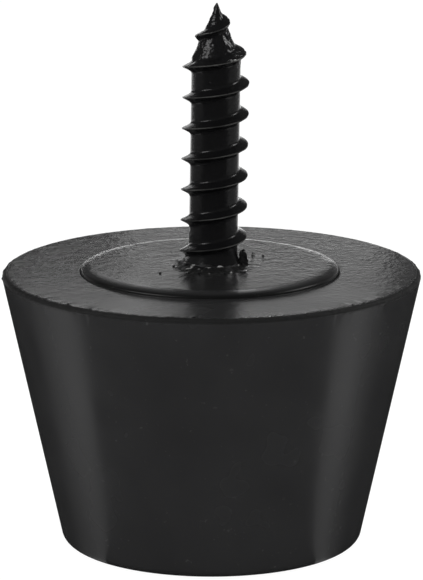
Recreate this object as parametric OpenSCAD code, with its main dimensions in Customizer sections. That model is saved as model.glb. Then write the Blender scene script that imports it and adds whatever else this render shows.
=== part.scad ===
// Tapered rubber foot with a wood screw moulded into it.
// It stands as it leaves the mould: floor face down at z = 0, screw pointing up.

/* [Rubber foot] */
// Diameter of the top face, the one that meets the furniture
top_d = 38; // [34:0.5:60]
// Diameter of the underside, the one that stands on the floor
bottom_d = 27; // [22:0.5:50]
// Height from the underside to the top face
foot_h = 25; // [18:0.5:50]
// Radius of the edge round the top face
top_edge_r = 0.5; // [0.1:0.1:1.5]
// Radius of the edge round the underside
bottom_edge_r = 1; // [0.1:0.1:2]

/* [Raised pad] */
// Diameter of the raised pad that seats on the furniture
pad_d = 23.3; // [14:0.1:30]
// Height of the pad above the top face
pad_h = 0.6; // [0.2:0.1:2]
// Radius of the pad's edge
pad_edge_r = 0.45; // [0.05:0.05:2]
// Width of the lip of rubber that the mould leaves round the screw
lip_w = 0.3; // [0.1:0.05:1]
// Height of that lip above the pad
lip_h = 0.25; // [0.1:0.05:0.8]

/* [Wood screw] */
// Diameter over the thread, which is also the plain shank's
thread_d = 6; // [5:0.1:8]
// Diameter of the core between the turns of the thread
core_d = 4.4; // [3:0.1:4.8]
// Rise of the thread in one turn
pitch = 2.8; // [2.4:0.1:5]
// Angle between the two flanks of the thread
thread_angle = 50; // [30:1:60]
// Width of the thread's crest
crest_w = 0.12; // [0.05:0.01:0.3]
// Length of the screw that stands out of the pad
exposed_l = 23.8; // [14:0.1:60]
// Length of the tapered point
point_l = 5; // [3:0.1:8]
// Diameter of the blunt tip at the end of the point
tip_d = 0.4; // [0.2:0.1:1]
// Length over which the plain shank tapers down to the core
run_out_l = 1.5; // [0.5:0.1:3]
// Angle at which the thread starts, counter-clockwise from +X
thread_start = 53; // [0:1:360]
// Lean of the screw towards +X, as it was moulded
lean = 0.9; // [0:0.1:2]

/* [Buried head] */
// Thickness of the rubber under the head
sole_t = 4.2; // [2:0.1:6]
// Width of the hexagon across its flats
head_af = 10; // [8:0.5:13]
// Height of the hexagon
head_h = 4; // [2:0.1:5]
// Diameter of the flange that the rubber pulls against
flange_d = 14; // [12:0.5:17]
// Thickness of the flange at its rim
flange_h = 1.2; // [0.8:0.1:2]

/* [Hidden] */
$fn = 96;

// Heights up the axis
pad_top = foot_h + pad_h;
seat_z = sole_t + head_h + flange_h;
shank_top = pad_top + lip_h;
tip_z = pad_top + exposed_l;

// Thread: steps in a turn, turns that it takes to come up to full height, and turns that fit
turn_steps = 48;
run_in = 1 / 3;
thread_h = (thread_d - core_d) / 2;
turns = ceil((tip_z - shank_top) / pitch) + 1;
// Share of its height that the thread keeps on the point, down to the very tip
point_share = 0.4;
tip_fade_l = pitch / 4;
// The threaded length is set this deep in the shank, and this far inside its skin, to join it
join = 0.3;
ledge = 0.08;
// The hexagon's corners are turned off at this angle
head_chamfer = 30;

// Radius that a corner can take when the wall beside it is only this long
function limited(radius, wall) = min(radius, 0.9 * wall);

function unit(v) = v / norm(v);

// Centre of the arc that rounds corner b of a - b - c with radius r
function arc_centre(a, b, c, r) =
    let (to_a = unit(a - b), to_c = unit(c - b), half = acos(to_a * to_c) / 2)
    b + unit(to_a + to_c) * r / sin(half);

// The point of line b - a that the arc round centre o touches
function arc_foot(a, b, o) = b + unit(a - b) * ((o - b) * unit(a - b));

// Outline through corners [x, y, radius]; a corner of radius 0 stays sharp
module rounded_outline(corners) {
    n = len(corners);
    xy = [for (c = corners) [c[0], c[1]]];
    centres = [for (i = [0:n - 1])
        corners[i][2] == 0 ? xy[i] : arc_centre(xy[(i + n - 1) % n], xy[i], xy[(i + 1) % n], corners[i][2])];
    polygon([for (i = [0:n - 1])
        each corners[i][2] == 0 ? [xy[i]] : [
            arc_foot(xy[(i + n - 1) % n], xy[i], centres[i]),
            centres[i],
            arc_foot(xy[(i + 1) % n], xy[i], centres[i])
        ]]);
    for (i = [0:n - 1])
        if (corners[i][2] > 0)
            translate(centres[i]) circle(corners[i][2]);
}

// Leans what belongs to the screw, about the middle of its buried length
module leaning() {
    pivot = (seat_z + pad_top) / 2;
    translate([0, 0, pivot]) rotate([0, lean, 0]) translate([0, 0, -pivot]) children();
}

// Hexagon with its outer corners turned off, standing on the flange's cone
module hexagon() {
    corner_r = head_af / 2 / cos(30);
    fall = corner_r * tan(head_chamfer);
    intersection() {
        translate([0, 0, sole_t]) cylinder(r = corner_r, h = head_h + flange_h / 2, $fn = 6);
        translate([0, 0, sole_t])
            cylinder(r1 = head_af / 2 * 0.95, r2 = head_af / 2 * 0.95 + (head_h + flange_h) / tan(head_chamfer),
                h = head_h + flange_h);
    }
}

// Flange with a flat bearing face towards the thread and a cone towards the hexagon
module flange() {
    rotate_extrude() polygon([
        [0, sole_t + head_h - flange_h / 2],
        [head_af / 2, sole_t + head_h - flange_h / 2],
        [flange_d / 2, sole_t + head_h],
        [flange_d / 2, seat_z],
        [0, seat_z]
    ]);
}

// Everything of the screw that the rubber grips; the shank's end can be drawn past its own length
module buried_end(past = 0) {
    hexagon();
    flange();
    translate([0, 0, seat_z - join]) cylinder(d = thread_d, h = shank_top - seat_z + join + past);
}

// Radius of the core at height z: down from the shank, along the core, in to the tip
function core_r(z) =
    let (
        run_out = thread_d / 2 - ledge - thread_h * (z - shank_top) / run_out_l,
        point = tip_d / 2 + (core_d - tip_d) / 2 * (tip_z - z) / point_l
    )
    min(thread_d / 2 - ledge, max(core_d / 2, run_out), point);

// Height of the thread above the core, where its crest stands at height z
function ridge_h(z) =
    let (rise = (z - shank_top) / (pitch * run_in), left = tip_z - z)
    thread_h * max(0, min(1, rise))
        * min(1, point_share + (1 - point_share) * left / point_l)
        * max(0, min(1, (left - crest_w) / tip_fade_l));

// One section through the thread and the core above it, with its crest at height z: [offset, share of the height]
function section(z) =
    let (slope = tan(thread_angle / 2), h = ridge_h(z), crest = crest_w / 2)
    [
        [-crest - 1.15 * h * slope, 0],
        [-crest - 0.7 * h * slope, 0.3],
        [-crest, 1],
        [crest, 1],
        [crest + 0.7 * h * slope, 0.3],
        [crest + 1.15 * h * slope, 0],
        [pitch / 2, 0]
    ];
rows_in_turn = len(section(shank_top));

// Point on the screw's skin: step counts round the axis, row counts up it
function skin_point(step, row) =
    let (
        crest_z = shank_top + pitch * (floor(row / rows_in_turn) - 2 + step / turn_steps),
        knot = section(crest_z)[row % rows_in_turn],
        z = max(shank_top - join, min(tip_z, crest_z + knot[0])),
        r = core_r(z) + knot[1] * ridge_h(crest_z),
        angle = thread_start + 360 * step / turn_steps
    )
    [r * cos(angle), r * sin(angle), z];

// Core, thread and point as one closed skin whose rows climb with the thread
module threaded_end() {
    rows = rows_in_turn * (turns + 2);
    points = [for (step = [0:turn_steps - 1], row = [0:rows]) skin_point(step, row)];
    // After one turn a row meets the row that stands a whole pitch above it
    function index(step, row) =
        step < turn_steps ? step * (rows + 1) + min(row, rows) : min(row + rows_in_turn, rows);
    function corners(step, row) =
        [index(step, row), index(step + 1, row), index(step + 1, row + 1), index(step, row + 1)];
    // Rows that start below the skin or run past the tip fall together, and faces of no area are left out
    function is_face(f) = points[f[0]] != points[f[1]] && points[f[1]] != points[f[2]] && points[f[2]] != points[f[0]];
    faces = [for (step = [0:turn_steps - 1], row = [0:rows - 1])
        let (q = corners(step, row))
        each [for (f = [[q[0], q[3], q[2]], [q[0], q[2], q[1]]]) if (is_face(f)) f]];
    base = [for (step = [0:turn_steps - 1]) index(step, 0)];
    tip = [for (step = [turn_steps - 1:-1:0]) index(step, rows)];
    polyhedron(points, concat([base, tip], faces), convexity = 8);
}

// One moulding: tapered body, raised pad and lip, round the buried end of the screw
module rubber_foot() {
    lip_r = thread_d / 2 + lip_w;
    side_l = norm([(top_d - bottom_d) / 2, foot_h]);
    color([0.09, 0.09, 0.09]) difference() {
        rotate_extrude() rounded_outline([
            [0, 0, 0],
            [bottom_d / 2, 0, limited(bottom_edge_r, side_l / 2)],
            [top_d / 2, foot_h, limited(top_edge_r, (top_d - pad_d) / 2)],
            [pad_d / 2, foot_h, 0],
            [pad_d / 2, pad_top, limited(pad_edge_r, pad_h)],
            [lip_r, pad_top, 0],
            [lip_r, shank_top, 0],
            [0, shank_top, 0]
        ]);
        // The shank leans, so its hole is cut right through the lip
        leaning() buried_end(past = lip_h);
    }
}

// Lag screw: hexagon, flange and shank in the rubber, right-hand thread and point above it
module wood_screw() {
    color([0.05, 0.05, 0.055]) leaning() {
        buried_end();
        threaded_end();
    }
}

rubber_foot();
wood_screw();
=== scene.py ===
# %% [markdown]
# # A rubber foot with a wood screw moulded into it
#
# The part is one rubber moulding and one steel screw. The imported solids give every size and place, and
# this file gives them the finish of the real thing: satin rubber with a fine grain, a trimmed rim, torn
# rubber where the screw comes out, and a black screw whose thread catches the light. Sizes are written
# in millimetres times `MM`, because Blender works in metres here.

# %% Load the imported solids
import math

import bmesh
import bpy
from mathutils import Matrix, Vector, noise


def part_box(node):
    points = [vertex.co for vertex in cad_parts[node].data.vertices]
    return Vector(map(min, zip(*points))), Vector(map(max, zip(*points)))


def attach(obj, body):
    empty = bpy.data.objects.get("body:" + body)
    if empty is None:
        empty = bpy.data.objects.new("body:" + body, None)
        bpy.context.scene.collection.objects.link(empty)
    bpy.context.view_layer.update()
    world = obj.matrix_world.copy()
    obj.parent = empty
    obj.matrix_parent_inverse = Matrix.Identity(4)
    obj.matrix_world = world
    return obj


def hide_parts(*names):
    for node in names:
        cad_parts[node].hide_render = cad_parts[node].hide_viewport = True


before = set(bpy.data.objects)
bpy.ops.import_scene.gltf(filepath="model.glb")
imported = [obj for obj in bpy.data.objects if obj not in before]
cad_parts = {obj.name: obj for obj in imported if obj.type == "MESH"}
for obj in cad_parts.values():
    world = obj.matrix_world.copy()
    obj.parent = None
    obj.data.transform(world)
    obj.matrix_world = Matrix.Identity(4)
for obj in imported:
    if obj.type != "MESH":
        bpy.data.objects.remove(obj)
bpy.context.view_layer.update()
scene = bpy.context.scene
print("solids:", sorted(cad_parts))

# %% Sizes that the pieces share
MM = 0.001
AXIS = Vector((0, 0, 1))

rubber_low, rubber_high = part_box("rubber_foot")
screw_low, screw_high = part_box("wood_screw")

TOP_R = 19 * MM
BOTTOM_R = 13.5 * MM
FOOT_H = 25 * MM
PAD_R = 11.65 * MM
PAD_TOP = FOOT_H + 0.6 * MM
SHANK_R = 3 * MM
CORE_R = 2.2 * MM
PITCH = 2.8 * MM
POINT_L = 5 * MM
LEAN = math.radians(0.9)
BURIED_HEAD_H = 5.2 * MM

lip_top = rubber_high[2]
tip_z = screw_high[2]
head_z = screw_low[2]
seat_z = head_z + BURIED_HEAD_H
pivot = Vector((0, 0, (seat_z + PAD_TOP) / 2))
for label, z in (("underside", rubber_low[2]), ("head's seat", seat_z), ("lip", lip_top), ("tip", tip_z)):
    print(f"{label} at {z / MM:.2f} mm")

# %% [markdown]
# ## The camera
#
# The foot is seen from a little above, through a long lens that keeps its sides almost parallel. A
# camera could be turned by hand until the picture looks right. Here it is placed by its angle above the
# horizon and its distance, and turned to its target with `to_track_quat`, so that both numbers can be
# read and changed.

# %% Place the camera
VIEW_ELEVATION = math.radians(13)
VIEW_DISTANCE = 400 * MM
LENS = 274.8
SENSOR = 36
AIM_H = 23.15 * MM

camera = bpy.data.objects.new("camera", bpy.data.cameras.new("camera"))
scene.collection.objects.link(camera)
scene.camera = camera
camera.data.lens = LENS
camera.data.sensor_width = SENSOR
camera.data.clip_start = 10 * MM
camera.location = Vector((
    0,
    -VIEW_DISTANCE * math.cos(VIEW_ELEVATION),
    FOOT_H + VIEW_DISTANCE * math.sin(VIEW_ELEVATION),
))
aim = Vector((0, 0, AIM_H)) - camera.location
camera.rotation_euler = aim.to_track_quat("-Z", "Y").to_euler()
print("camera at", [round(c / MM) for c in camera.location], "mm")

# %% [markdown]
# ## The studio
#
# Black things are lit by what they mirror, and a white surround alone would leave this foot flat and
# grey. So the camera sees white, but reflections see a dark tent with chosen cards in it: a low bright
# horizon and a bright far table that catch the grain and the pad's back edge, dim curtains above them
# that lift the right of the top and the left of the thread, and two cards on the table that fade
# sideways into the soft bands down the body. Their brightness could be painted into the black finish
# instead, but then it would stay in place when the foot is turned. Small lamps behind light the top at
# a low angle, and a box at each side puts the glints on the thread.

# %% Helpers for node trees
def shader_tree(owner):
    """The emptied node tree of a material or a world."""
    owner.use_nodes = True
    tree = owner.node_tree
    tree.nodes.clear()
    return tree


def add(tree, kind, **settings):
    """A node of this kind, with the inputs or the properties of these names set."""
    node = tree.nodes.new(kind)
    for key, value in settings.items():
        name = key.replace("_", " ").title()
        if name in node.inputs:
            node.inputs[name].default_value = value
        else:
            setattr(node, key, value)
    return node


def finish(tree, surface):
    """Leads a shader to the output of its material."""
    out = add(tree, "ShaderNodeOutputMaterial")
    tree.links.new(surface.outputs[0], out.inputs["Surface"])


def in_range(tree, source, low, high, to_low=0.0, to_high=1.0):
    """Maps low..high of a value to to_low..to_high, and holds it there outside."""
    ranged = add(tree, "ShaderNodeMapRange")
    for label, value in (("From Min", low), ("From Max", high), ("To Min", to_low), ("To Max", to_high)):
        ranged.inputs[label].default_value = value
    tree.links.new(source, ranged.inputs["Value"])
    return ranged.outputs[0]


def arithmetic(tree, operation, first, second):
    """A Math node; either side may be a socket or a number."""
    node = add(tree, "ShaderNodeMath", operation=operation)
    for socket, value in zip(node.inputs, (first, second)):
        if isinstance(value, bpy.types.NodeSocket):
            tree.links.new(value, socket)
        else:
            socket.default_value = value
    return node.outputs[0]


def place_in(tree, coordinates="Object"):
    """Where a point lies: its coordinates as one socket, and their X, Y and Z."""
    place = add(tree, "ShaderNodeTexCoord").outputs[coordinates]
    split = add(tree, "ShaderNodeSeparateXYZ")
    tree.links.new(place, split.inputs[0])
    return place, *split.outputs


# %% Background and world
AMBIENT = 2.1
OVERHEAD = 0.3
OVERHEAD_FROM = 0.75


def seen_plainly(tree):
    """1 for camera, glossy and transmission rays, 0 for the rays that light the object."""
    path = add(tree, "ShaderNodeLightPath")
    seen = arithmetic(tree, "MAXIMUM", path.outputs["Is Camera Ray"], path.outputs["Is Glossy Ray"])
    return arithmetic(tree, "MAXIMUM", seen, path.outputs["Is Transmission Ray"])


world = bpy.data.worlds.new("studio")
scene.world = world
tree = shader_tree(world)
_, _, _, up = place_in(tree, "Generated")
ambient = add(tree, "ShaderNodeBackground")
tree.links.new(in_range(tree, up, 0, OVERHEAD_FROM, AMBIENT, OVERHEAD), ambient.inputs["Strength"])
white = add(tree, "ShaderNodeBackground", strength=1.0)
for background in (ambient, white):
    background.inputs["Color"].default_value = (1, 1, 1, 1)
mix = add(tree, "ShaderNodeMixShader")
out = add(tree, "ShaderNodeOutputWorld")
tree.links.new(seen_plainly(tree), mix.inputs[0])
tree.links.new(ambient.outputs[0], mix.inputs[1])
tree.links.new(white.outputs[0], mix.inputs[2])
tree.links.new(mix.outputs[0], out.inputs["Surface"])
print("world: white background, ambient from", OVERHEAD, "overhead to", AMBIENT, "around")


# %% Table
def staged(name, bm):
    """Turns a bmesh into a piece of the studio."""
    mesh = bpy.data.meshes.new(name)
    bm.to_mesh(mesh)
    bm.free()
    obj = bpy.data.objects.new(name, mesh)
    scene.collection.objects.link(obj)
    return obj


def emitter(name, strength):
    """A material that only glows; a strength of 1 is white."""
    material = bpy.data.materials.new(name)
    tree = shader_tree(material)
    finish(tree, add(tree, "ShaderNodeEmission", strength=strength))
    return material


FLOOR_SIZE = 2
FLOOR_GLOW = 0.96
FLOOR_SHADOW_SHARE = 0.12
FLOOR_WHITE = 0.8

bm = bmesh.new()
bmesh.ops.create_grid(bm, x_segments=1, y_segments=1, size=FLOOR_SIZE)
floor = staged("floor", bm)
paper = bpy.data.materials.new("white_paper")
tree = shader_tree(paper)
shadowed = add(tree, "ShaderNodeBsdfDiffuse")
shadowed.inputs["Color"].default_value = (*[FLOOR_SHADOW_SHARE] * 3, 1)
pale = add(tree, "ShaderNodeBsdfDiffuse")
pale.inputs["Color"].default_value = (*[FLOOR_WHITE] * 3, 1)
glow = add(tree, "ShaderNodeEmission", strength=FLOOR_GLOW)
lit = add(tree, "ShaderNodeAddShader")
mix = add(tree, "ShaderNodeMixShader")
tree.links.new(shadowed.outputs[0], lit.inputs[0])
tree.links.new(glow.outputs[0], lit.inputs[1])
tree.links.new(seen_plainly(tree), mix.inputs[0])
tree.links.new(pale.outputs[0], mix.inputs[1])
tree.links.new(lit.outputs[0], mix.inputs[2])
finish(tree, mix)
floor.data.materials.append(paper)
print("table of white paper,", 2 * FLOOR_SIZE, "m wide")


# %% Dark tent
def glossy_only(obj):
    """Leaves a card in reflections and takes it out of everything else."""
    for ray in ("camera", "diffuse", "transmission", "shadow", "volume_scatter"):
        setattr(obj, "visible_" + ray, False)


TENT_R = 260 * MM
TENT_BASE_Z = 0.05 * MM
TENT_GREY = 0.05
TABLE_GREY = 0.012

bm = bmesh.new()
bmesh.ops.create_uvsphere(bm, u_segments=64, v_segments=32, radius=TENT_R)
cut = bmesh.ops.bisect_plane(
    bm,
    geom=bm.verts[:] + bm.edges[:] + bm.faces[:],
    plane_co=(0, 0, TENT_BASE_Z),
    plane_no=AXIS,
    clear_inner=True,
)
base = bmesh.ops.holes_fill(bm, edges=[e for e in cut["geom_cut"] if isinstance(e, bmesh.types.BMEdge)])
for face in base["faces"]:
    face.material_index = 1
tent = staged("dark_tent", bm)
tent.data.materials.append(emitter("dark_tent", TENT_GREY))
tent.data.materials.append(emitter("dark_table", TABLE_GREY))
glossy_only(tent)
print("dark tent over the table")


# %% Cards in the tent
CARD_Z = 0.3 * MM
WALL_R = 0.96 * TENT_R
FAR_TABLE = (112 * MM, 250 * MM)


def arc_card(name, low_end, high_end, first, last, brightness):
    """A card swept round the table; its ends are (radius, height), its azimuths start at the back."""
    bm = bmesh.new()
    ends = [bm.verts.new((0, radius, height)) for radius, height in (low_end, high_end)]
    bm.edges.new(ends)
    bmesh.ops.rotate(bm, verts=ends, cent=(0, 0, 0), matrix=Matrix.Rotation(-math.radians(first), 3, "Z"))
    bmesh.ops.spin(
        bm, geom=ends + bm.edges[:], cent=(0, 0, 0), axis=AXIS, angle=-math.radians(last - first), steps=32
    )
    card = staged(name, bm)
    card.data.materials.append(emitter(name, brightness))
    glossy_only(card)


# Low and high edge in mm, first and last azimuth in degrees, brightness
wall_cards = [
    ("horizon_left", 5, 27, -60, -25, 1.5),
    ("horizon_back", 5, 27, -25, 20, 2.3),
    ("horizon_right", 5, 27, 20, 60, 0.9),
    ("left_curtain", 42, 170, -110, -70, 0.2),
    ("right_curtain_fade", 42, 170, 2, 11, 0.15),
    ("right_curtain", 42, 170, 11, 60, 0.27),
]
for name, low, high, first, last, brightness in wall_cards:
    arc_card(name, (WALL_R, low * MM), (WALL_R, high * MM), first, last, brightness)
table_cards = [
    ("far_left_table", -120, -35, 0.18),
    ("far_back_table", -35, 35, 1.0),
    ("far_right_table", 35, 120, 0.28),
]
for name, first, last, brightness in table_cards:
    arc_card(name, (FAR_TABLE[0], CARD_Z), (FAR_TABLE[1], CARD_Z), first, last, brightness)
print(len(wall_cards), "cards on the tent's wall,", len(table_cards), "on its far table")


# %% Fading cards beside the foot
CARD_FADE = math.radians(37)
CARD_REACH = 90 * MM
CARD_CORNER = Vector((7 * MM, -9 * MM, CARD_Z))
DIM_FROM, DIM_TO = 4 * MM, 32 * MM
DIM_SHARE = 0.5


def fading_glow(name, strength, power):
    """A glow that is full along the card's X axis, and fades with the angle to it and near the corner."""
    material = bpy.data.materials.new(name)
    tree = shader_tree(material)
    place, x, y, _ = place_in(tree)
    away = add(tree, "ShaderNodeVectorMath", operation="LENGTH")
    tree.links.new(place, away.inputs[0])
    turned = in_range(tree, arithmetic(tree, "ARCTAN2", y, x), 0, CARD_FADE, 1, 0)
    reach = in_range(tree, away.outputs["Value"], DIM_FROM, DIM_TO, DIM_SHARE * strength, strength)
    glow = add(tree, "ShaderNodeEmission")
    level = arithmetic(tree, "MULTIPLY", arithmetic(tree, "POWER", turned, power), reach)
    tree.links.new(level, glow.inputs["Strength"])
    finish(tree, glow)
    return material


# Side, inner edge in degrees, strength and power of the fade
side_cards = [("left_card", -1, -13, 0.67, 1.4), ("right_card", 1, -17, 0.74, 2.6)]
for name, side, inner, strength, power in side_cards:
    bm = bmesh.new()
    bmesh.ops.create_circle(bm, cap_ends=True, segments=48, radius=CARD_REACH)
    for angle, keep in ((math.radians(inner), 1), (CARD_FADE, -1)):
        bmesh.ops.bisect_plane(
            bm,
            geom=bm.verts[:] + bm.edges[:] + bm.faces[:],
            plane_co=(0, 0, 0),
            plane_no=(-math.sin(angle) * keep, math.cos(angle) * keep, 0),
            clear_inner=True,
        )
    card = staged(name, bm)
    card.data.materials.append(fading_glow(name, strength, power))
    card.location = (side * CARD_CORNER.x, CARD_CORNER.y, CARD_CORNER.z)
    card.scale.x = side
    glossy_only(card)
print("fading cards:", [name for name, *_ in side_cards])


# %% Lamps
LAMP_AIM = Vector((0, 0, 35 * MM))
BACK_LAMPS_Y_IN_MM = 50
BOX_DISTANCE = 200 * MM
BOX_H = 60 * MM


def soft_light(name, at, towards, width, height, brightness, roll=0):
    """A lamp, rolled about the way it faces; a brightness of 1 looks white when it is mirrored."""
    data = bpy.data.lights.new(name, "AREA")
    data.shape = "RECTANGLE"
    data.size = width
    data.size_y = height
    data.energy = brightness * math.pi * width * height
    lamp = bpy.data.objects.new(name, data)
    scene.collection.objects.link(lamp)
    lamp.location = at
    lamp.rotation_euler = (towards - at).to_track_quat("-Z", "Y").to_euler()
    lamp.rotation_euler.rotate_axis("Z", math.radians(roll))
    lamp.visible_camera = False


def around(azimuth, elevation):
    """A box's place: the azimuth is 0 at the camera's side and grows to the right."""
    a, e = math.radians(azimuth), math.radians(elevation)
    flat = BOX_DISTANCE * math.cos(e)
    return LAMP_AIM + Vector((flat * math.sin(a), -flat * math.cos(a), BOX_DISTANCE * math.sin(e)))


# X and height of its place, its width and its height in mm, and its brightness
for name, x, z, width, height, brightness in (
    ("back_low", 4.5, 36, 27, 20, 0.5),
    ("back_left", -14, 51, 14, 18, 1.15),
    ("back_high", 4, 80, 9, 36, 8.0),
):
    at = Vector((x, BACK_LAMPS_Y_IN_MM, z)) * MM
    soft_light(name, at, at - Vector((0, 1, 0)), width * MM, height * MM, brightness)
# Azimuth and elevation of its place in degrees, its width in mm, and its brightness
for name, azimuth, elevation, width, brightness in (
    ("left_box", -60, 34, 120, 3.0),
    ("right_box", 98, 30, 70, 4.5),
):
    soft_light(name, around(azimuth, elevation), LAMP_AIM, width * MM, BOX_H, brightness)

# %% [markdown]
# ## The rubber moulding
#
# The body is round, so half of its section is drawn as a chain of edges and spun about the axis. The
# section could carry its rounded edges as points, but spinning sharp corners first and bevelling the
# edge loops afterwards keeps the sizes readable. Extra points beside each corner hold the flat faces
# flat when the mesh is shaded smooth. The inside follows the buried shank and head of the screw. Small
# wear comes last, and moves points by noise: at the trimmed rim, in the groove round the pad and on the
# ragged lip.

# %% Helpers for pieces
# Closer together than this, in metres, two places count as one
NEAR = 1e-6


def finished(name, bm, body="root"):
    """Turns a bmesh into a piece that is shaded smooth and rides on its body."""
    mesh = bpy.data.meshes.new(name)
    bm.to_mesh(mesh)
    bm.free()
    mesh.shade_smooth()
    obj = bpy.data.objects.new(name, mesh)
    scene.collection.objects.link(obj)
    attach(obj, body)
    print(f"{name}: {len(mesh.polygons)} faces")
    return obj


def radius_of(co):
    """Distance from the upright axis."""
    return math.hypot(co.x, co.y)


def chain(bm, points):
    """Edges through (radius, height) points, in the plane y = 0."""
    verts = [bm.verts.new((r, 0, z)) for r, z in points]
    return verts + [bm.edges.new(pair) for pair in zip(verts, verts[1:])]


def loop_at(bm, radius, height):
    """The edges of the ring that lies at this radius and height."""
    on_ring = {
        v for v in bm.verts
        if abs(radius_of(v.co) - radius) < NEAR and abs(v.co.z - height) < NEAR
    }
    return [e for e in bm.edges if set(e.verts) <= on_ring]


def close_up(bm, gap=1e-7):
    """Merges doubled points and turns all faces outwards."""
    bmesh.ops.remove_doubles(bm, verts=bm.verts, dist=gap)
    bmesh.ops.recalc_face_normals(bm, faces=bm.faces)


def lean_over(bm, verts):
    """Leans points as the screw leans, about the middle of its buried length."""
    bmesh.ops.rotate(bm, verts=verts, cent=pivot, matrix=Matrix.Rotation(LEAN, 3, "Y"))


def ripple(co, size, seed):
    """Smooth noise between -1 and 1 whose bumps are about this size; the seed picks another part of it."""
    return noise.noise(co / size + Vector((seed, seed * 1.7, seed * 2.3)))


# %% Section of the foot
HEAD_R = 5.3 * MM
FLANGE_R = 7 * MM
FLANGE_RIM = 1.2 * MM
FLANGE_H = 1.5 * FLANGE_RIM
GROOVE = 0.12 * MM
SHANK_DEPTH = 1.0 * MM

shank_top = PAD_TOP - SHANK_DEPTH
side = Vector((TOP_R - BOTTOM_R, FOOT_H))


def on_side(share):
    """A point of the tapered side, this share of the way up."""
    return (BOTTOM_R + side.x * share, side.y * share)


# Radii in mm on the underside, the ring and the pad, and the lip's radius and height over the pad
underside = [0, 6, 11, 12.4]
ring = [18.1, 17, 15.5, 14, 12.8, 12]
pad = [10.2, 9, 7, 5.2, 4.5]
lip = [(4.02, 0), (3.98, 0.07), (3.7, 0.12), (3.3, 0.2), (2.95, 0.27)]
lip += [(2.74, 0.28), (2.8, -0.15), (2.98, -0.5)]

section = [(r * MM, 0) for r in underside]
section += [(BOTTOM_R, 0)]
section += [on_side(share) for share in (0.06, 0.2, 0.35, 0.5, 0.65, 0.8, 0.93)]
section += [(TOP_R, FOOT_H)]
section += [(r * MM, FOOT_H) for r in ring]
section += [(PAD_R + GROOVE, FOOT_H), (PAD_R + 0.3 * GROOVE, FOOT_H - GROOVE), (PAD_R, FOOT_H - GROOVE)]
section += [(PAD_R, PAD_TOP)]
section += [(r * MM, PAD_TOP) for r in pad]
section += [(r * MM, PAD_TOP + up * MM) for r, up in lip]
section += [(SHANK_R, shank_top - 0.2 * MM)]
section += [(SHANK_R, seat_z), (FLANGE_R, seat_z), (FLANGE_R, seat_z - FLANGE_RIM)]
section += [(HEAD_R, seat_z - FLANGE_H), (HEAD_R, head_z), (0, head_z)]
print("section of", len(section), "points")

# %% Body of the foot
BODY_STEPS = 720
BOTTOM_EDGE = 1.0 * MM
TOP_EDGE = 0.5 * MM
SHOULDER = 0.48 * MM
EDGE_STEPS = 7

bm = bmesh.new()
outline = chain(bm, section)
bmesh.ops.spin(
    bm, geom=outline, cent=(0, 0, 0), axis=AXIS, angle=2 * math.pi, steps=BODY_STEPS, use_merge=True
)
close_up(bm)

taper = math.atan2(side.x, side.y)
# Radius and height of the corner, radius of its edge, angle inside it
corners = [
    (BOTTOM_R, 0, BOTTOM_EDGE, math.pi / 2 + taper),
    (TOP_R, FOOT_H, TOP_EDGE, math.pi / 2 - taper),
    (PAD_R, PAD_TOP, SHOULDER, math.pi / 2),
]
for ring_r, ring_z, edge_r, inside_angle in corners:
    bmesh.ops.bevel(
        bm,
        geom=loop_at(bm, ring_r, ring_z),
        affect="EDGES",
        offset=edge_r / math.tan(inside_angle / 2),
        segments=EDGE_STEPS,
        profile=0.5,
        material=-1,
    )
print("body after bevels:", len(bm.faces), "faces")

# %% Soft shoulder of the pad
STRETCH = 3.0
PAD_SHIFT = 0.15 * MM
SHIFTED_FROM = 7.5 * MM
GROOVE_RAGGED = 0.004

for v in bm.verts:
    r = radius_of(v.co)
    if PAD_R - SHOULDER - NEAR < r < PAD_R + NEAR and v.co.z > FOOT_H + 0.05 * MM:
        v.co.xy *= (PAD_R - (PAD_R - r) * STRETCH) / r
for v in bm.verts:
    if SHIFTED_FROM < radius_of(v.co) < PAD_R + 1.1 * GROOVE and v.co.z > FOOT_H - 1.1 * GROOVE:
        if radius_of(v.co) > PAD_R + 0.1 * GROOVE:
            v.co.xy *= 1 + GROOVE_RAGGED * ripple(v.co, 0.35 * MM, 14)
        v.co.x -= PAD_SHIFT
print(f"shoulder {STRETCH * SHOULDER / MM:.2f} mm wide, pad {PAD_SHIFT / MM:.2f} mm off centre")

# %% Trimmed rim
RIM_DEPTH = 0.7 * MM
RIM_H = 0.55 * MM
NIB = 0.06 * MM
FRONT_FADE = 8 * MM
EDGE_FADE = 0.3 * MM
BACK_SHARE = 0.15

bm.normal_update()
for v in bm.verts:
    if radius_of(v.co) > TOP_R - RIM_DEPTH and v.co.z > FOOT_H - RIM_H:
        rough = 0.5 * ripple(v.co, 1.1 * MM, 3) + 0.8 * ripple(v.co, 0.35 * MM, 8)
        torn = max(0, ripple(v.co, 0.5 * MM, 9) - 0.25) * 4
        front = min(1, -v.co.y / FRONT_FADE)
        share = max(BACK_SHARE, front, min(1, (FOOT_H - v.co.z) / EDGE_FADE))
        v.co += v.normal * NIB * share * (rough + torn)
print("rim ragged by", round(NIB / MM, 2), "mm")

# %% Lean of the buried screw's space
bore = [v for v in bm.verts if radius_of(v.co) < SHANK_R + 0.01 * MM and v.co.z > head_z - NEAR]
bore += [v for v in bm.verts if abs(radius_of(v.co) - FLANGE_R) < NEAR and v.co.z < seat_z + NEAR]
bore += [v for v in bm.verts if abs(radius_of(v.co) - HEAD_R) < NEAR and v.co.z < seat_z]
bore = list(set(bore))
lean_over(bm, bore)
print("leaned", len(bore), "points of the space inside")

# %% Moulded lip
LIP_INSIDE, LIP_OUTSIDE = 2.7 * MM, 4.3 * MM
LIP_GROWS_FROM, LIP_GROWTH_W = 2.8 * MM, 1.1 * MM
LIP_NOISE_R = 4 * MM
LIP_FRONT = 0.3
LIP_SIDES = -0.22
LIP_RAGGED = 0.09
LIP_BUMPS = 0.1 * MM

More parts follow.
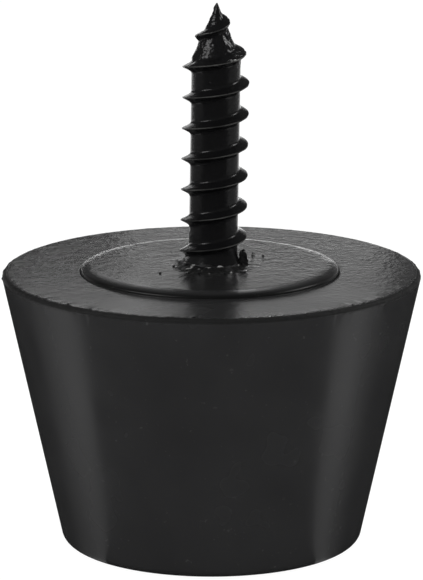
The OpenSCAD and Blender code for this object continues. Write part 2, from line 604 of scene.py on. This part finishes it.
for v in bm.verts:
    r = radius_of(v.co)
    if v.co.z > PAD_TOP - NEAR and LIP_INSIDE < r < LIP_OUTSIDE:
        edge = max(0, min(1, (r - LIP_GROWS_FROM) / LIP_GROWTH_W))
        flat = Vector((v.co.x, v.co.y, 0)) * LIP_NOISE_R / r
        ragged = ripple(flat, 1.3 * MM, 6) + 0.6 * ripple(flat, 0.4 * MM, 7)
        front = max(0, -v.co.y / r) ** 2
        v.co.xy *= 1 + edge * (LIP_FRONT * front + LIP_SIDES + LIP_RAGGED * ragged)
        v.co.z = PAD_TOP + (v.co.z - PAD_TOP) * (0.5 + 0.5 * front)
        if v.co.z > PAD_TOP + 0.05 * MM:
            v.co.z += LIP_BUMPS * (ripple(v.co, 0.5 * MM, 5) + 0.6 * ripple(v.co, 0.22 * MM, 8))
bmesh.ops.recalc_face_normals(bm, faces=bm.faces)
foot = finished("foot_moulding", bm)

# %% [markdown]
# ## The wood screw
#
# A thread is a helix with a shape: one tooth, spun about the axis while it climbs one pitch a turn. A
# Screw modifier would do it too, but `bmesh.ops.spin` takes a climb of its own for each step, and the
# tooth here spans exactly one pitch, so each turn meets the next and the core comes with the thread.
# The skin is then cut to length, and its points are drawn in to form the run-out and the tapered point.

# %% Thread tooth
TOOTH_H = SHANK_R - CORE_R

# Height over the core and distance from the middle of the tooth
tooth_half = [
    (TOOTH_H, 0.045 * MM),
    (0.93 * TOOTH_H, 0.085 * MM),
    (0.55 * TOOTH_H, 0.235 * MM),
    (0.24 * TOOTH_H, 0.37 * MM),
    (0.1 * TOOTH_H, 0.455 * MM),
    (0.025 * TOOTH_H, 0.55 * MM),
]
tooth_half += [(0, z * MM) for z in (0.66, 0.8, 0.95, 1.1, 1.25)]
tooth = [(CORE_R + h, -z) for h, z in reversed(tooth_half)] + [(CORE_R + h, z) for h, z in tooth_half]
tooth = [(CORE_R, -PITCH / 2)] + tooth + [(CORE_R, PITCH / 2)]
print("tooth of", len(tooth), "points")

# %% Spin it up the axis
TURN_STEPS = 96
THREAD_START = math.radians(53)
turns = math.ceil((tip_z - lip_top) / PITCH) + 2
bm = bmesh.new()
outline = chain(bm, tooth)
bmesh.ops.translate(bm, verts=bm.verts, vec=(0, 0, lip_top - PITCH))
bmesh.ops.rotate(bm, verts=bm.verts, cent=(0, 0, 0), matrix=Matrix.Rotation(THREAD_START, 3, "Z"))
bmesh.ops.spin(
    bm,
    geom=outline,
    cent=(0, 0, 0),
    axis=AXIS,
    dvec=(0, 0, PITCH / TURN_STEPS),
    angle=2 * math.pi * turns,
    steps=TURN_STEPS * turns,
)
close_up(bm, gap=NEAR)
for height, below in ((shank_top, True), (tip_z, False)):
    bmesh.ops.bisect_plane(
        bm,
        geom=bm.verts[:] + bm.edges[:] + bm.faces[:],
        dist=1e-7,
        plane_co=(0, 0, height),
        plane_no=AXIS,
        clear_inner=below,
        clear_outer=not below,
    )
print(f"thread: {turns} turns, {len(bm.faces)} faces")


# %% Run-out at the shank and taper at the point
RUN_OUT = 2.6 * MM
SLANT_IN_MM = 0.3
RUN_IN_TURNS = 1 / 3
LEDGE = 0.08 * MM
TIP_R = 0.04 * MM
TIP_FLAT = 0.1 * MM
TIP_FADE = PITCH / 4
POINT_SHARE = 0.4


def climb_at(co):
    """How far the thread has climbed where this point lies."""
    turned = (math.atan2(co.y, co.x) - THREAD_START) / (2 * math.pi)
    level = (co.z - lip_top) / PITCH
    return (turned + round(level - turned)) * PITCH


def core_at(z, across=0.0):
    """Core radius at this height; across is the place's X share of the radius."""
    up, left = z - shank_top + SLANT_IN_MM * across * MM, tip_z - z
    run_out = SHANK_R - LEDGE - TOOTH_H * up / RUN_OUT
    point = TIP_R + (CORE_R - TIP_R) * left / POINT_L
    return min(SHANK_R - LEDGE, max(CORE_R, run_out), point)


def tooth_share(climb):
    """The share of its height that the tooth has here: it runs in, shrinks on the point and fades out."""
    left = tip_z - lip_top - climb
    rise = climb / (PITCH * RUN_IN_TURNS)
    on_point = POINT_SHARE + (1 - POINT_SHARE) * left / POINT_L
    fade = (left - TIP_FLAT) / TIP_FADE
    return max(0, min(1, rise)) * min(1, on_point) * max(0, min(1, fade))


crest = bm.verts.layers.float.new("crest")
for v in bm.verts:
    r = radius_of(v.co)
    v[crest] = (r - CORE_R) / TOOTH_H
    core_r = core_at(v.co.z, v.co.x / r)
    room = min(1, (SHANK_R - core_r) / TOOTH_H)
    height = (r - CORE_R) * room * tooth_share(climb_at(v.co))
    v.co.xy *= (core_r + height) / r
close_up(bm, gap=NEAR)
print("screw is", round(2 * max(radius_of(v.co) for v in bm.verts) / MM, 2), "mm over the thread")

# %% Chips and burrs
DIVIDED_L = 6.2 * MM
SMOOTHED_L = 5.6 * MM
SMOOTHINGS = 3
CHIP = 0.05 * MM
CHIPS_FADE = 1.2 * MM
TIP_CALM = 1 * MM
BURR = 0.02 * MM
BURRS_FROM = 2.8 * MM

point = [v for v in bm.verts if v.co.z > tip_z - DIVIDED_L]
near_point = list({e for v in point for e in v.link_edges})
bmesh.ops.subdivide_edges(bm, edges=near_point, cuts=1, use_grid_fill=True)
point = [v for v in bm.verts if v.co.z > tip_z - SMOOTHED_L]
for _ in range(SMOOTHINGS):
    bmesh.ops.smooth_vert(bm, verts=point, factor=0.5, use_axis_x=True, use_axis_y=True)

bm.normal_update()
for v in bm.verts:
    left = tip_z - v.co.z
    on_point = max(0, min(1, (POINT_L + CHIPS_FADE - left) / CHIPS_FADE)) * min(1, left / TIP_CALM)
    rough = ripple(v.co, 0.75 * MM, 1) + 0.8 * ripple(v.co, 0.36 * MM, 2)
    rough += 0.55 * ripple(v.co, 0.18 * MM, 3)
    burr = BURR * ripple(v.co, 0.5 * MM, 4) if radius_of(v.co) > BURRS_FROM else 0
    v.co += v.normal * (CHIP * on_point * rough + burr)
print("chips over the last", round((POINT_L + CHIPS_FADE) / MM, 1), "mm")


# %% Tip, shank, flange and hexagon
HEX_FLAT_R = 5 * MM
HEX_CHAMFER_H = 0.45 * MM
HEX_FACE_SHARE = 0.94
TIP_ROUNDING = 0.06 * MM
CREASE = math.radians(38)


def open_loop(bm, height, near=0.3 * MM):
    """The free edges that lie about this high."""
    return [
        e for e in bm.edges
        if len(e.link_faces) == 1 and all(abs(v.co.z - height) < near for v in e.verts)
    ]


def drawn_out(bm, loop, radius, height):
    """Extrudes an open loop and lays its new points on a radius, given for each angle, at one height."""
    new = bmesh.ops.extrude_edge_only(bm, edges=loop)["geom"]
    for v in (g for g in new if isinstance(g, bmesh.types.BMVert)):
        angle = math.atan2(v.co.y, v.co.x)
        v.co = Vector((radius(angle) * math.cos(angle), radius(angle) * math.sin(angle), height))
    return [g for g in new if isinstance(g, bmesh.types.BMEdge)]


def circle(radius):
    """The same radius at every angle."""
    return lambda angle: radius


def hexagon(angle):
    """The radius at which a hexagon's side lies at this angle."""
    to_flat = (angle + math.pi / 6) % (math.pi / 3) - math.pi / 6
    return HEX_FLAT_R / math.cos(to_flat)


top = open_loop(bm, tip_z)
cap = bmesh.ops.holes_fill(bm, edges=top)["faces"]
bmesh.ops.poke(bm, faces=cap, offset=TIP_ROUNDING)

loop = open_loop(bm, shank_top)
steps = [
    (circle(SHANK_R), shank_top),
    (circle(SHANK_R), seat_z),
    (circle(FLANGE_R), seat_z),
    (circle(FLANGE_R), seat_z - FLANGE_RIM),
    (hexagon, seat_z - FLANGE_H),
    (hexagon, head_z + HEX_CHAMFER_H),
    (circle(HEX_FACE_SHARE * HEX_FLAT_R), head_z),
]
for radius, height in steps:
    loop = drawn_out(bm, loop, radius, height)
bmesh.ops.holes_fill(bm, edges=loop)
close_up(bm)
lean_over(bm, bm.verts)
screw = finished("black_wood_screw", bm)
screw.data.set_sharp_from_angle(angle=CREASE)

# %% [markdown]
# ## Torn rubber at the screw
#
# Rubber creeps up the shank while it is pressed, and tears when the foot leaves the mould. What stays is
# a ragged skirt, one taller tab and a few crumbs. They are small, but they tell the eye that the foot is
# moulded and not drawn. A ring of edges is extruded up the shank and its top is torn by noise; the tab is
# a cube that is divided and roughened.

# %% Skirt of rubber
SKIRT_STEPS = 360
SKIRT_START = 0.1 * MM
SKIRT_RISE = 0.34 * MM
SKIRT_GAP = 0.04 * MM
SKIRT_FLARE = 0.04 * MM
SKIRT_WAVE = 0.03 * MM
SKIRT_THICKNESS = 0.04 * MM

bm = bmesh.new()
bmesh.ops.create_circle(bm, segments=SKIRT_STEPS, radius=core_at(PAD_TOP) + SKIRT_START)
bmesh.ops.translate(bm, verts=bm.verts, vec=(0, 0, PAD_TOP + SKIRT_START))
loop = bm.edges[:]
for share in (0.15, 0.3, 0.45, 0.6, 0.75, 0.9, 1.0):
    new = bmesh.ops.extrude_edge_only(bm, edges=loop)["geom"]
    for v in (g for g in new if isinstance(g, bmesh.types.BMVert)):
        flat = v.co.xy.normalized()
        foothold = Vector((flat.x, flat.y, 0)) * SHANK_R
        # Its top is torn by broad and fine noise, and stands higher on the left
        torn = 0.62 + 0.55 * ripple(foothold, 1.6 * MM, 11) + 0.5 * ripple(foothold, 0.5 * MM, 12)
        torn += 0.35 * max(0, -flat.x)
        z = PAD_TOP + SKIRT_START + share * SKIRT_RISE * max(0.3, min(1.1, torn))
        r = core_at(z, flat.x) + SKIRT_GAP + SKIRT_FLARE * (1 - share)
        r += SKIRT_WAVE * ripple(foothold + AXIS * z, 0.4 * MM, 13)
        v.co = Vector((flat.x * r, flat.y * r, z))
    loop = [g for g in new if isinstance(g, bmesh.types.BMEdge)]
bmesh.ops.recalc_face_normals(bm, faces=bm.faces)
bmesh.ops.solidify(bm, geom=bm.faces[:], thickness=SKIRT_THICKNESS)
lean_over(bm, bm.verts)
skirt = finished("torn_skirt", bm)


# %% Tab and crumbs
SCRAP_W = 0.8
SCRAP_TAPER = 0.5
SCRAP_ROUGH = 0.7
TAB_AT = (2.85 * MM, -0.3 * MM, PAD_TOP + 0.62 * MM)
TAB_SIZE = (0.86 * MM, 0.3 * MM, 1.4 * MM)
CRUMB_LIFT = 0.2
CRUMB_H = 0.8


def scrap(bm, at, size, turn, seed, cuts):
    """A roughened block of torn rubber, narrower at its top and turned about the upright axis."""
    block = bmesh.ops.create_cube(bm, size=1)["verts"]
    edges = list({e for v in block for e in v.link_edges})
    bmesh.ops.subdivide_edges(bm, edges=edges, cuts=cuts, use_grid_fill=True)
    mine = [v for v in bm.verts if v.tag is False]
    bmesh.ops.scale(bm, verts=mine, vec=size)
    for v in mine:
        v.tag = True
        v.co.x *= SCRAP_W - SCRAP_TAPER * v.co.z / size[2]
        rough = Vector((ripple(v.co, 0.3 * MM, seed + axis) for axis in range(3)))
        v.co += rough * SCRAP_ROUGH * min(size)
    bmesh.ops.rotate(bm, verts=mine, cent=(0, 0, 0), matrix=Matrix.Rotation(math.radians(turn), 3, "Z"))
    bmesh.ops.translate(bm, verts=mine, vec=at)


bm = bmesh.new()
scrap(bm, TAB_AT, TAB_SIZE, turn=8, seed=21, cuts=7)
bmesh.ops.recalc_face_normals(bm, faces=bm.faces)
tab = finished("torn_tab", bm)

# X, Y and size in mm
crumbs = [
    (3.75, 3.45, 0.3),
    (4.7, 3.05, 0.2),
    (-4.6, -4.0, 0.16),
    (-3.4, -1.2, 0.2),
    (-2.0, -3.8, 0.2),
    (-1.1, -4.2, 0.22),
    (0.9, -4.0, 0.24),
    (1.7, -3.9, 0.2),
]
bm = bmesh.new()
for number, (x, y, size) in enumerate(crumbs):
    at = (x * MM, y * MM, PAD_TOP + CRUMB_LIFT * size * MM)
    block = (size * MM, size * MM, CRUMB_H * size * MM)
    scrap(bm, at, block, turn=40 * number, seed=30 + number, cuts=2)
bmesh.ops.recalc_face_normals(bm, faces=bm.faces)
crumb_piece = finished("rubber_crumbs", bm)

# %% [markdown]
# ## Finishes
#
# Both finishes are black, so the colour says little and the surface says the rest. Grain and specks are
# used by both materials, so each is built once as a node group with named inputs, and a material sets
# its own scale and strength. The groups give out heights and masks only; the shader itself stays in the
# material, where the export can read it. The rubber was not touched alike everywhere: its flat faces are
# grained and scuffed, more so towards the back, and the trimmed rim and the lip are dull. Painted shade
# darkens the rim, the lip and the pad's top, where it deepens the screw's mirror image, and darkest of
# all the pad's shoulder in front; the lip's pale specks are torn rubber and painted glints. Each of these
# could be a material of its own with faces chosen by hand, but a mask by height lets them run into each
# other softly.


# %% Helpers for finishes
def node_group(name, inputs, outputs):
    """A new group with these number sockets, and the nodes that stand for its inputs and outputs."""
    group = bpy.data.node_groups.new(name, "ShaderNodeTree")
    for label in inputs:
        group.interface.new_socket(label, in_out="INPUT", socket_type="NodeSocketFloat")
    for label in outputs:
        group.interface.new_socket(label, in_out="OUTPUT", socket_type="NodeSocketFloat")
    return group, add(group, "NodeGroupInput"), add(group, "NodeGroupOutput")


def placed_group(tree, group, **values):
    """Sets a group in a material with the material's own values, and gives its outputs."""
    node = add(tree, "ShaderNodeGroup", node_tree=group)
    for key, value in values.items():
        node.inputs[key.replace("_", " ").title()].default_value = value
    return node.outputs


def product(tree, first, *others):
    """Multiplies sockets and numbers."""
    for other in others:
        first = arithmetic(tree, "MULTIPLY", first, other)
    return first


def colour_mix(tree, mask, first, second):
    """Goes from the first colour to the second as the mask goes from 0 to 1."""
    mix = add(tree, "ShaderNodeMix", data_type="RGBA")
    tree.links.new(mask, mix.inputs[0])
    for socket, value in zip(mix.inputs[6:8], (first, second)):
        if isinstance(value, bpy.types.NodeSocket):
            tree.links.new(value, socket)
        else:
            socket.default_value = (*value, 1)
    return mix.outputs[2]


def bumpy(tree, height, distance, surface):
    """Leads a height to the normal of a shader."""
    bump = add(tree, "ShaderNodeBump", strength=1.0, distance=distance)
    tree.links.new(height, bump.inputs["Height"])
    tree.links.new(bump.outputs[0], surface.inputs["Normal"])


# %% Grain
MOTTLE_SHARE = 0.16
MOTTLE = (0.3, 0.7)

grain, given, result = node_group(
    "surface_grain", ("Coarse Scale", "Fine Scale", "Fine Share"), ("Height", "Mottle")
)
place = add(grain, "ShaderNodeTexCoord")
coarse = add(grain, "ShaderNodeTexNoise", detail=2.0, roughness=0.55)
fine = add(grain, "ShaderNodeTexNoise", detail=1.0, roughness=0.5)
mottle = add(grain, "ShaderNodeTexNoise", detail=2.0)
for texture in (coarse, fine, mottle):
    grain.links.new(place.outputs["Object"], texture.inputs["Vector"])
grain.links.new(given.outputs["Coarse Scale"], coarse.inputs["Scale"])
grain.links.new(given.outputs["Fine Scale"], fine.inputs["Scale"])
grain.links.new(product(grain, given.outputs["Coarse Scale"], MOTTLE_SHARE), mottle.inputs["Scale"])
fine_part = product(grain, fine.outputs[0], given.outputs["Fine Share"])
grain.links.new(arithmetic(grain, "ADD", coarse.outputs[0], fine_part), result.inputs["Height"])
grain.links.new(mottle.outputs[0], result.inputs["Mottle"])
print("grain gives", [socket.name for socket in result.inputs if socket.name])

# %% Specks of dust and small scuffs
PATCH_SHARE = 0.2
SPECK_EDGE = 0.06
PATCHES = (0.48, 0.62)

specks, given, result = node_group("dust_and_scuffs", ("Scale", "Cover"), ("Mask",))
place = add(specks, "ShaderNodeTexCoord")
dots = add(specks, "ShaderNodeTexNoise", detail=1.0, roughness=0.6)
patches = add(specks, "ShaderNodeTexNoise", detail=1.0)
for texture in (dots, patches):
    specks.links.new(place.outputs["Object"], texture.inputs["Vector"])
specks.links.new(given.outputs["Scale"], dots.inputs["Scale"])
specks.links.new(product(specks, given.outputs["Scale"], PATCH_SHARE), patches.inputs["Scale"])
over = arithmetic(specks, "SUBTRACT", dots.outputs[0], given.outputs["Cover"])
sparse = in_range(specks, over, 0.0, SPECK_EDGE)
where = in_range(specks, patches.outputs[0], *PATCHES)
specks.links.new(product(specks, sparse, where), result.inputs["Mask"])
print("node groups:", [group.name for group in bpy.data.node_groups])

# %% Places on the rubber
PAD_GRAIN = 1.2

rubber = bpy.data.materials.new("black_rubber")
tree = shader_tree(rubber)
surface = add(tree, "ShaderNodeBsdfPrincipled", metallic=0.0)
surface.inputs["Specular IOR Level"].default_value = 0.4
texture = placed_group(tree, grain, coarse_scale=1000, fine_scale=2600, fine_share=0.5)
dust = placed_group(tree, specks, scale=2600, cover=0.68)
_, across, back, height = place_in(tree)


def from_level(level, off, full):
    """A mask by height: 0 on one side and 1 on the other of two heights, in mm from a level."""
    return in_range(tree, height, level + off * MM, level + full * MM)


on_ring = from_level(FOOT_H, -0.04, -0.01)
under_pad = from_level(FOOT_H, 0.05, 0.01)
on_pad = product(tree, from_level(PAD_TOP, -0.2, -0.005), PAD_GRAIN)
on_flats = arithmetic(tree, "MAXIMUM", arithmetic(tree, "MINIMUM", on_ring, under_pad), on_pad)
on_lip = from_level(PAD_TOP, 0.005, 0.04)
on_rim = product(tree, from_level(FOOT_H, -0.5, -0.3), from_level(FOOT_H, -0.005, -0.03))
in_front = in_range(tree, back, -2 * MM, -6 * MM)
shoulder = product(tree, from_level(PAD_TOP, -0.005, -0.03), from_level(FOOT_H, 0.01, 0.05), in_front)
# Painted shade: the lower half of the pad's shoulder in front is painted near black
painted_shade_low_shoulder = product(tree, from_level(FOOT_H, 0.5, 0.3), shoulder)
towards_back = in_range(tree, back, -9 * MM, 9 * MM, 0.2, 1.4)
calmer_right = in_range(tree, across, 10 * MM, 16 * MM, 1.0, 0.55)
print("masks by height and place in", rubber.name)

# %% Colour of the rubber
RUBBER_DARK = (0.019, 0.019, 0.0195)
RUBBER_PALE = (0.029, 0.029, 0.0295)
SCUFF = (0.14, 0.14, 0.138)
# Painted shade: near black for the pad's shoulder in front and, in part, for the pad's top
PAINTED_SHADE_BLACK = (0.004, 0.004, 0.004)
# Painted shade: a darker black for the trimmed rim, the lip and the torn rubber above the pad
DULL_PAINTED_SHADE = (0.01, 0.01, 0.01)
DUST = (0.2, 0.2, 0.195)
# Pale grey of torn rubber, which also stands in as painted glints on the lip's grain peaks
TORN_AND_GLINT_GREY = (0.5, 0.5, 0.49)
SCUFFED = (0.74, 0.92)
TORN_AND_GLINT_PEAKS = (0.86, 0.93)
SCUFF_SHARE = 0.25
LIP_SHARE = 0.7
DUST_SHARE = 0.12
# How far the pad's top is painted towards black: painted shade that deepens the screw's reflection in it
PAD_SHADE_SHARE = 0.4

scuffs = product(tree, in_range(tree, texture["Height"], *SCUFFED), towards_back, on_flats, SCUFF_SHARE)
# The rim and the lip are rougher further down, and are painted darker here as shade
dull_and_painted_shade = arithmetic(tree, "MAXIMUM", on_rim, product(tree, on_lip, LIP_SHARE))
layers = [
    (scuffs, SCUFF),
    # painted shade on the pad's shoulder in front
    (painted_shade_low_shoulder, PAINTED_SHADE_BLACK),
    # painted shade on the rim, the lip and the torn rubber
    (dull_and_painted_shade, DULL_PAINTED_SHADE),
    (product(tree, dust["Mask"], DUST_SHARE), DUST),
    # pale specks on the lip: torn rubber and painted glints
    (product(tree, in_range(tree, texture["Height"], *TORN_AND_GLINT_PEAKS), on_lip), TORN_AND_GLINT_GREY),
    # painted shade: the pad's top darker, so that the screw mirrored in it looks darker
    (product(tree, on_pad, PAD_SHADE_SHARE), PAINTED_SHADE_BLACK),
]
colour = colour_mix(tree, texture["Mottle"], RUBBER_DARK, RUBBER_PALE)
for mask, layer_colour in layers:
    colour = colour_mix(tree, mask, colour, layer_colour)
tree.links.new(colour, surface.inputs["Base Color"])
print("rubber's colour has", len(layers), "layers over its mottle")

# %% Gloss and grain of the rubber
SATIN = (0.19, 0.29)
DULLER = 0.4
SMOOTHER = 0.02
SHOULDER_SHARE = 0.3
RUBBER_GRAIN = 0.13 * MM
RIM_GRAIN = 0.6
LEAST_GRAIN = 0.02

roughness = in_range(tree, texture["Mottle"], *MOTTLE, *SATIN)
dull_and_painted_shade = arithmetic(tree, "MAXIMUM", dull_and_painted_shade, product(tree, shoulder, SHOULDER_SHARE))
roughness = arithmetic(tree, "ADD", roughness, product(tree, dull_and_painted_shade, DULLER))
roughness = arithmetic(tree, "SUBTRACT", roughness, product(tree, on_pad, SMOOTHER))
tree.links.new(roughness, surface.inputs["Roughness"])

amount = product(tree, on_flats, towards_back, calmer_right)
for other in (arithmetic(tree, "MAXIMUM", on_lip, LEAST_GRAIN), product(tree, on_rim, RIM_GRAIN)):
    amount = arithmetic(tree, "MAXIMUM", amount, other)
bumpy(tree, product(tree, texture["Height"], amount), RUBBER_GRAIN, surface)
finish(tree, surface)
print(rubber.name, "has", len(tree.nodes), "nodes")

# %% Black steel
BLACKENED = (0.005, 0.005, 0.0053)
# Grey of wear and dust, which on the crests also stands in as a painted highlight
WORN_AND_HIGHLIGHT_GREY = (0.05, 0.05, 0.048)
SEMI_GLOSS = (0.15, 0.24)
WORN_AND_HIGHLIT_CREST = (0.97, 1.0)
STEEL_DUST_SHARE = 0.25
STEEL_GRAIN = 0.028 * MM

steel = bpy.data.materials.new("black_steel")
tree = shader_tree(steel)
surface = add(tree, "ShaderNodeBsdfPrincipled", metallic=0.0)
surface.inputs["Specular IOR Level"].default_value = 0.5
texture = placed_group(tree, grain, coarse_scale=2600, fine_scale=8000, fine_share=0.4)
dust = placed_group(tree, specks, scale=3500, cover=0.74)
crest = add(tree, "ShaderNodeAttribute", attribute_name="crest")

broken = in_range(tree, texture["Mottle"], 0.35, 0.6, 0.25, 1.0)
# The crests are painted lighter in broken lines: partly wear, partly a painted highlight along the thread
rubbed_and_highlit_crest = product(tree, in_range(tree, crest.outputs["Fac"], *WORN_AND_HIGHLIT_CREST), broken)
worn_and_highlit = arithmetic(tree, "MAXIMUM", rubbed_and_highlit_crest, product(tree, dust["Mask"], STEEL_DUST_SHARE))
tree.links.new(colour_mix(tree, worn_and_highlit, BLACKENED, WORN_AND_HIGHLIGHT_GREY), surface.inputs["Base Color"])
tree.links.new(in_range(tree, texture["Mottle"], *MOTTLE, *SEMI_GLOSS), surface.inputs["Roughness"])
bumpy(tree, texture["Height"], STEEL_GRAIN, surface)
finish(tree, surface)
print(steel.name, "has", len(tree.nodes), "nodes")

# %% [markdown]
# ## Dressing
#
# Each piece gets its finish, and the two large ones stand in for the solids, which are then not shown.
# The solids could be painted instead, but their thread and edges are cut too coarsely to catch the light
# as the real ones do.

# %% Dress the pieces
for piece in (foot, skirt, tab, crumb_piece):
    piece.data.materials.append(rubber)
screw.data.materials.append(steel)
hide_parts("rubber_foot")
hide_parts("wood_screw")

# %% View settings
scene.view_settings.view_transform = "Standard"
